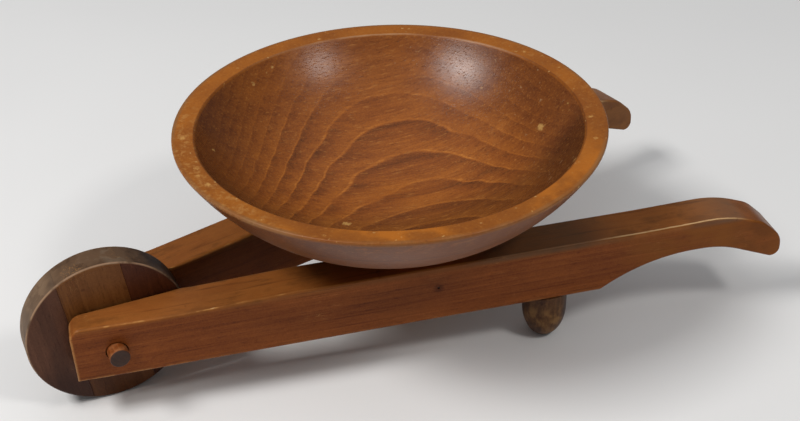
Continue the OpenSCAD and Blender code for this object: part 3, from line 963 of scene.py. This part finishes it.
def foot_piece(side, name):
    """A foot with its tenon, cut off level with the floor."""
    piece = turned(name, foot_section(), 72)
    put(piece, along_rail(FOOT_REACH, -RAIL_T / 2, -AXLE_V, side), (0, -PITCH, 0))
    edit(piece)
    bpy.ops.mesh.select_all(action="SELECT")
    bpy.ops.mesh.bisect(
        plane_co=(0, 0, 0), plane_no=(0, 0, 1), use_fill=True, clear_inner=True
    )
    deselect()
    smooth(piece, 40)
    return piece


left_foot = foot_piece(-1, "left_turned_foot")
hand_over(left_foot, foot_finish("left foot wood", -1, 100.0), "frame", "left_foot")
right_foot = foot_piece(1, "right_turned_foot")
hand_over(right_foot, foot_finish("right foot wood", 1, 110.0), "frame", "right_foot")

# ---- Wheel and axle ----


def wheel_piece(node, name):
    """One of the wheel's three boards, its rim and joints eased."""
    piece = board_copy(node, name)

    def is_rim(a, b, angle):
        both = [math.hypot(p.x - AXLE.x, p.z - AXLE.z) for p in (a, b)]
        on_tread = min(both) > WHEEL_R - WHEEL_WEAR - 1e-4
        return angle > math.radians(20) and on_tread and abs(a.y - b.y) < TOUCHING

    select_edges(piece, is_rim)
    bpy.ops.mesh.bevel(offset=0.0005, segments=2, profile=0.5, affect="EDGES")
    select_edges(piece, lambda a, b, angle: angle > math.radians(60))
    bpy.ops.mesh.bevel(offset=0.00018, segments=2, profile=0.5, affect="EDGES")
    deselect()
    smooth(piece, 30)
    return piece


WHEEL_BOARDS = [
    ("wheel_front_board", "front_wheel_board", "wheel_wood", PURPLE_BROWN, -0.05, 200.0, 0.2),
    ("wheel_middle_board", "middle_wheel_board", "wheel_wood_light", TAN_BROWN, 0.02, 210.0, 0.25),
    ("wheel_rear_board", "rear_wheel_board", "wheel_wood", DARK_MAROON, 0.05, 220.0, 0.2),
]
for node, name, slot, tones, offset, seed, strength in WHEEL_BOARDS:
    piece = wheel_piece(node, name)
    finish = wheel_finish(name.replace("_", " ") + " wood", tones, offset, seed, strength)
    hand_over(piece, finish, "wheel", node)

axle_low, axle_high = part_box("axle")
deselect()
bpy.ops.mesh.primitive_cylinder_add(
    vertices=64, radius=AXLE_R, depth=axle_high.y - axle_low.y, end_fill_type="NGON"
)
axle = bpy.context.object
axle.name = "axle_dowel"
edit(axle)
select_edges(axle, lambda a, b, angle: angle > math.radians(60))
bpy.ops.mesh.bevel(offset=0.0008, segments=3, profile=0.5, affect="EDGES")
select_faces(axle, lambda centre, normal: abs(normal.z) > 0.99)
bpy.ops.mesh.inset(thickness=0.0012)
bpy.ops.mesh.inset(thickness=0.002)
deselect()
put(axle, AXLE, (math.pi / 2, 0, 0))
smooth(axle, 30)
hand_over(axle, axle_finish(), "wheel", "axle")

# ---- Crosspiece, dowels, nails and screws: their shape stays, and they get a finish ----

plain = plain_finish()
screw_steel = steel_finish("screw steel", (0.30, 0.30, 0.31), (0.56, 0.56, 0.57))
nail_steel = steel_finish("old nail steel", (0.020, 0.016, 0.014), (0.07, 0.055, 0.048))
for node, finish in (
    ("crosspiece", plain),
    ("crosspiece_dowels", plain),
    ("crosspiece_nails", nail_steel),
    ("bowl_screws", screw_steel),
):
    mesh = frame["nodes"][node].data
    mesh.materials.clear()
    mesh.materials.append(finish)

# ---- Floor, light and camera ----

scene = bpy.context.scene
scene.view_settings.view_transform = "Standard"

deselect()
bpy.ops.mesh.primitive_plane_add(size=8.0)
floor = bpy.context.object
floor.name = "floor"
cloth = Finish("floor cloth")
folds = cloth.noise(cloth.place, (3, 3, 3), 2, 0.5, 300.0)
cloth.colour = cloth.mix(folds, (0.77, 0.765, 0.755), (0.82, 0.815, 0.805))
cloth.roughness = 0.9 + folds * 0.05
cloth.height = cloth.noise(cloth.place, (500, 500, 500), 2, 0.5, 301.0)
floor.data.materials.append(cloth.done(0.1))

world = bpy.data.worlds.new("room")
scene.world = world
world.use_nodes = True
air = world.node_tree.nodes["Background"]

# a room that is brighter overhead than towards its walls
ROOM_GLOW = {"From Min": 0.45, "From Max": 0.95, "To Min": 0.17, "To Max": 0.58}
sky = world.node_tree.nodes
way_up = sky.new("ShaderNodeTexCoord")
parts = sky.new("ShaderNodeSeparateXYZ")
climb = sky.new("ShaderNodeMapRange")
climb.interpolation_type = "SMOOTHSTEP"
for key, value in ROOM_GLOW.items():
    climb.inputs[key].default_value = value
wire = world.node_tree.links.new
wire(way_up.outputs["Generated"], parts.inputs["Vector"])
wire(parts.outputs["Z"], climb.inputs["Value"])
wire(climb.outputs["Result"], air.inputs["Strength"])
air.inputs["Color"].default_value = (0.95, 0.97, 1.0, 1)


LIT_PLACE = Vector((0, 0, 0.1))


def lamp(name, heading, climb, distance, width, depth, power, colour):
    """A soft lamp that looks at the bowl from a heading and a climb in degrees, and a distance."""
    light = bpy.data.lights.new(name, "AREA")
    light.shape = "RECTANGLE"
    light.size = width
    light.size_y = depth
    light.energy = power
    light.color = colour
    shown = bpy.data.objects.new(name, light)
    scene.collection.objects.link(shown)
    a, e = math.radians(heading), math.radians(climb)
    way = Vector((math.cos(a) * math.cos(e), math.sin(a) * math.cos(e), math.sin(e)))
    shown.location = LIT_PLACE + way * distance
    shown.rotation_euler = way.to_track_quat("Z", "Y").to_euler()


lamp("front lamp", -60, 50, 2.0, 0.36, 0.30, 8.5, (1.0, 0.985, 0.965))
lamp("side lamp", -177, 50, 2.0, 0.70, 0.44, 26, (1.0, 0.99, 0.98))

CAMERA_PLACE = (-0.29556, -0.66269, 0.55797)
CAMERA_HEADING = math.radians(-24.546)
CAMERA_DIP = math.radians(33.22)
camera = bpy.data.cameras.new("camera")
camera.lens = 57.53
camera.sensor_width = 36
camera.clip_start = 0.01
camera_object = bpy.data.objects.new("camera", camera)
camera_object.location = CAMERA_PLACE
camera_object.rotation_euler = (math.pi / 2 - CAMERA_DIP, 0, CAMERA_HEADING)
scene.collection.objects.link(camera_object)
scene.camera = camera_object
